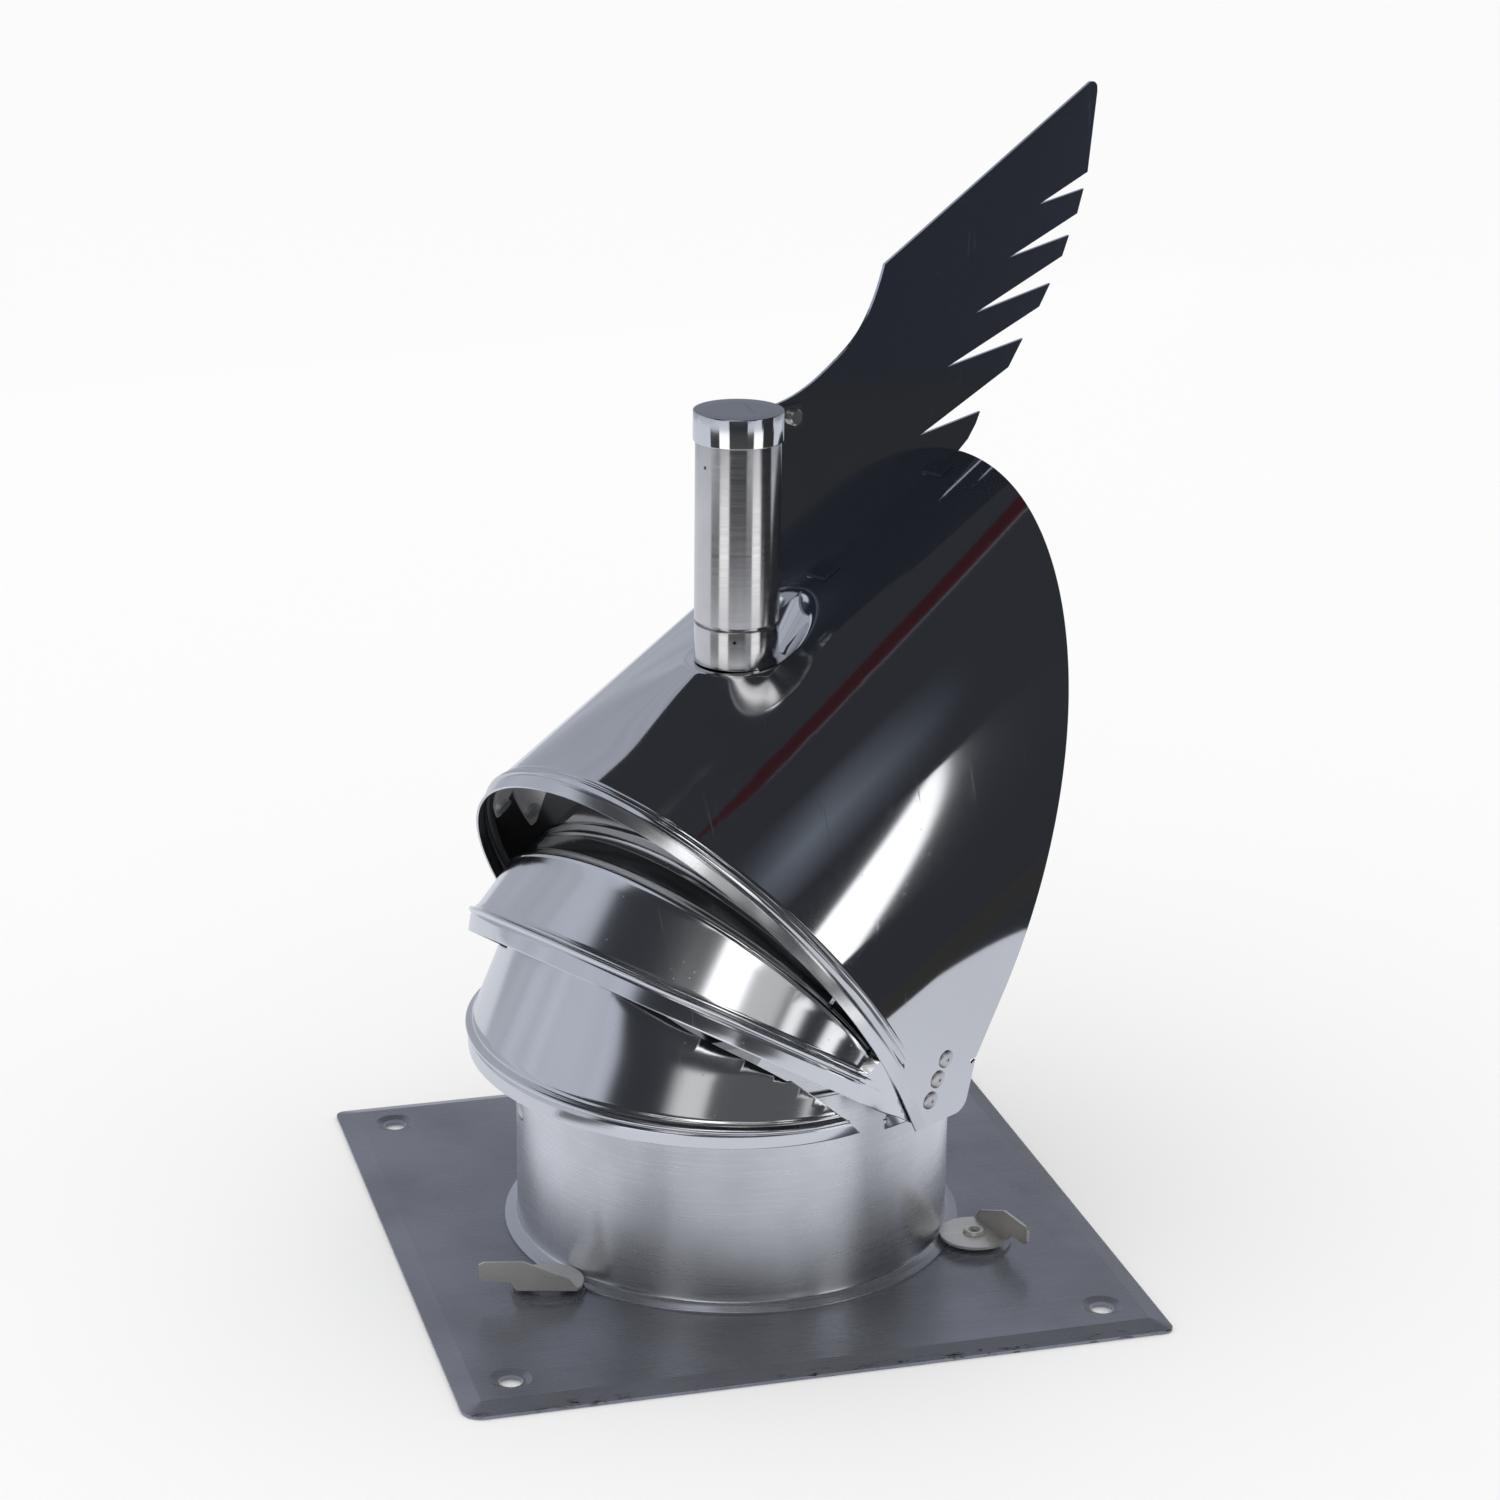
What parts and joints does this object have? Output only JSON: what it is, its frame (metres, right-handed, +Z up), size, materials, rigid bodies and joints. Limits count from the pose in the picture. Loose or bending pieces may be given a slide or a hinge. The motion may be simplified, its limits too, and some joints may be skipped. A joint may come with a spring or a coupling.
{
  "type": "rotating chimney cowl",
  "caption": "Wind-turned chimney cowl: tilted hood over two visors, bearing tube with feathered vane, round neck on a square base plate with turn latches.",
  "frame": {"origin": "on the axis of the neck and of the spindle, at the level the base plate stands on", "axes": "+Z up along the spindle, X and Y along the sides of the square base plate"},
  "size_m": [0.2704, 0.24, 0.3822],
  "materials": {
    "mirror_steel": "mirror-polished stainless steel sheet",
    "bright_steel": "bright stainless sheet with a fine satin",
    "turned_steel": "turned stainless steel, fine lathe lines",
    "satin_steel": "satin stainless sheet, mid grey",
    "latch_steel": "bare pressed steel, slightly warm",
    "rivet_steel": "blind rivets, dull bright",
    "zinc_steel": "zinc-plated fasteners",
    "shaft_steel": "ground steel bar",
    "bearing_steel": "ground and polished bearing steel",
    "cage_brass": "pressed brass ribbon"
  },
  "bodies": {
    "base": {"base_plate": "satin_steel", "neck": "bright_steel", "neck_strap": "satin_steel", "strap_rivets": "rivet_steel", "spindle": "shaft_steel", "spindle_nuts": "zinc_steel", "spindle_washers": "zinc_steel", "bearing_spacer": "shaft_steel", "top_washer": "zinc_steel", "top_nut": "zinc_steel", "lower_bearing_inner_ring": "bearing_steel", "upper_bearing_inner_ring": "bearing_steel", "latch_spacers": "latch_steel", "latch_rivets": "latch_steel"},
    "rotor": {"hood": "mirror_steel", "middle_visor": "bright_steel", "bottom_visor": "bright_steel", "cheek_rivets": "rivet_steel", "crown_hoop": "satin_steel", "hoop_rivets": "rivet_steel", "backing_plate": "satin_steel", "socket_ring": "turned_steel", "bearing_tube": "turned_steel", "tube_cap": "mirror_steel", "lower_bearing_outer_ring": "bearing_steel", "upper_bearing_outer_ring": "bearing_steel", "wing": "mirror_steel", "wing_lug": "mirror_steel", "wing_screw": "zinc_steel", "wing_nut": "zinc_steel"},
    "ball_sets": {"lower_bearing_balls": "bearing_steel", "lower_bearing_cage": "cage_brass", "upper_bearing_balls": "bearing_steel", "upper_bearing_cage": "cage_brass"},
    "latch_left": {"left_latch": "latch_steel"},
    "latch_right": {"right_latch": "latch_steel"},
    "latch_rear": {"rear_latch": "latch_steel"}
  },
  "joints": [
    {"name": "rotor_spin", "type": "hinge", "parent": "base", "child": "rotor", "pos_m": [0, 0, 0.25], "axis": [0, 0, 1], "continuous": true},
    {"name": "cage_spin", "type": "hinge", "parent": "base", "child": "ball_sets", "pos_m": [0, 0, 0.25], "axis": [0, 0, 1], "continuous": true},
    {"name": "latch_left_turn", "type": "hinge", "parent": "base", "child": "latch_left", "pos_m": [-0.07578, -0.04375, 0.0064], "axis": [0, 0, 1], "range_deg": [-45, 135]},
    {"name": "latch_right_turn", "type": "hinge", "parent": "base", "child": "latch_right", "pos_m": [0.07461, -0.04572, 0.0064], "axis": [0, 0, 1], "range_deg": [-45, 135]},
    {"name": "latch_rear_turn", "type": "hinge", "parent": "base", "child": "latch_rear", "pos_m": [0, 0.0875, 0.0064], "axis": [0, 0, 1], "range_deg": [-45, 135]}
  ],
  "couplings": [
    {"joint": "cage_spin", "follows": "rotor_spin", "ratio": 0.6278}
  ]
}
